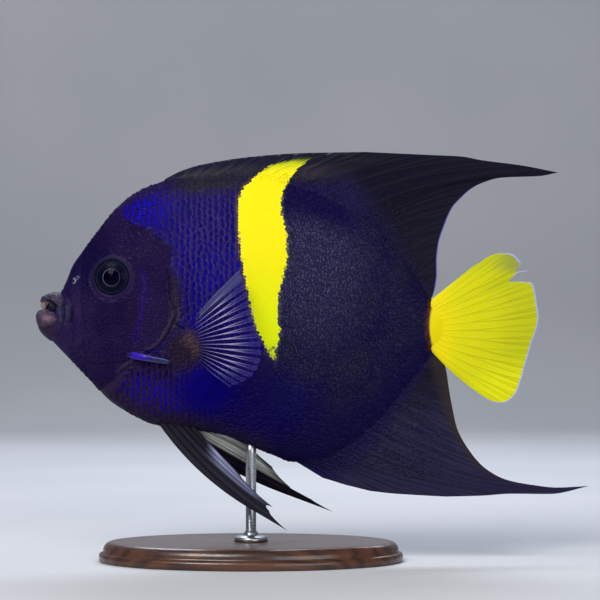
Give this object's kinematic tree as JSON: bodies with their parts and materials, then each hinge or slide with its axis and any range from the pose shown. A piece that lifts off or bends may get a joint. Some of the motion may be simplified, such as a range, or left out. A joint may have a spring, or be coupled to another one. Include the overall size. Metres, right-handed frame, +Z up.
{
  "type": "arabian angelfish model on a display stand",
  "caption": "Life-size swimming marine angelfish with long trailing dorsal and anal fins, fanned breast fins and a yellow tail, held on a flat oval base by a short rod.",
  "frame": {"origin": "centre of the underside of the display stand's base, below the rod's axis", "axes": "+Z up, +X toward the fish's tail (its head points to -X), +Y toward its right side"},
  "size_m": [0.2777, 0.096, 0.2045],
  "materials": {
    "skin": "wet scaled skin, indigo with blue spots and a yellow band",
    "lips": "soft mauve lips with pale fine teeth",
    "cheek_spine": "smooth blue-violet bone with a grey tip",
    "eye": "clear glossy dark eye",
    "dark_fin": "ridged blackish fin with a pale blue rear margin",
    "yellow_fin": "bright yellow ridged fin with a pale blue edge",
    "clear_fin": "clear membrane with pale lavender rays",
    "pelvic_fin": "dark rays with a pale bluish membrane",
    "stand_base": "satin varnished dark wood",
    "stand_rod": "fine brushed"
  },
  "bodies": {
    "root": {"head": "skin", "trunk": "skin", "tail_stock": "skin", "gill_cover_left": "skin", "gill_cover_right": "skin", "upper_jaw": "lips", "lower_jaw": "lips", "cheek_spine_left": "cheek_spine", "cheek_spine_right": "cheek_spine", "eye_left": "eye", "eye_right": "eye", "dorsal_fin_spiny": "dark_fin", "dorsal_fin_soft": "dark_fin", "dorsal_fin_rear": "dark_fin", "anal_fin_front": "dark_fin", "anal_fin_rear": "dark_fin", "caudal_fin": "yellow_fin", "pectoral_fin_left": "clear_fin", "pectoral_fin_right": "clear_fin", "pelvic_fin_left": "pelvic_fin", "pelvic_fin_right": "pelvic_fin", "stand_base": "stand_base", "stand_rod": "stand_rod"}
  },
  "joints": []
}
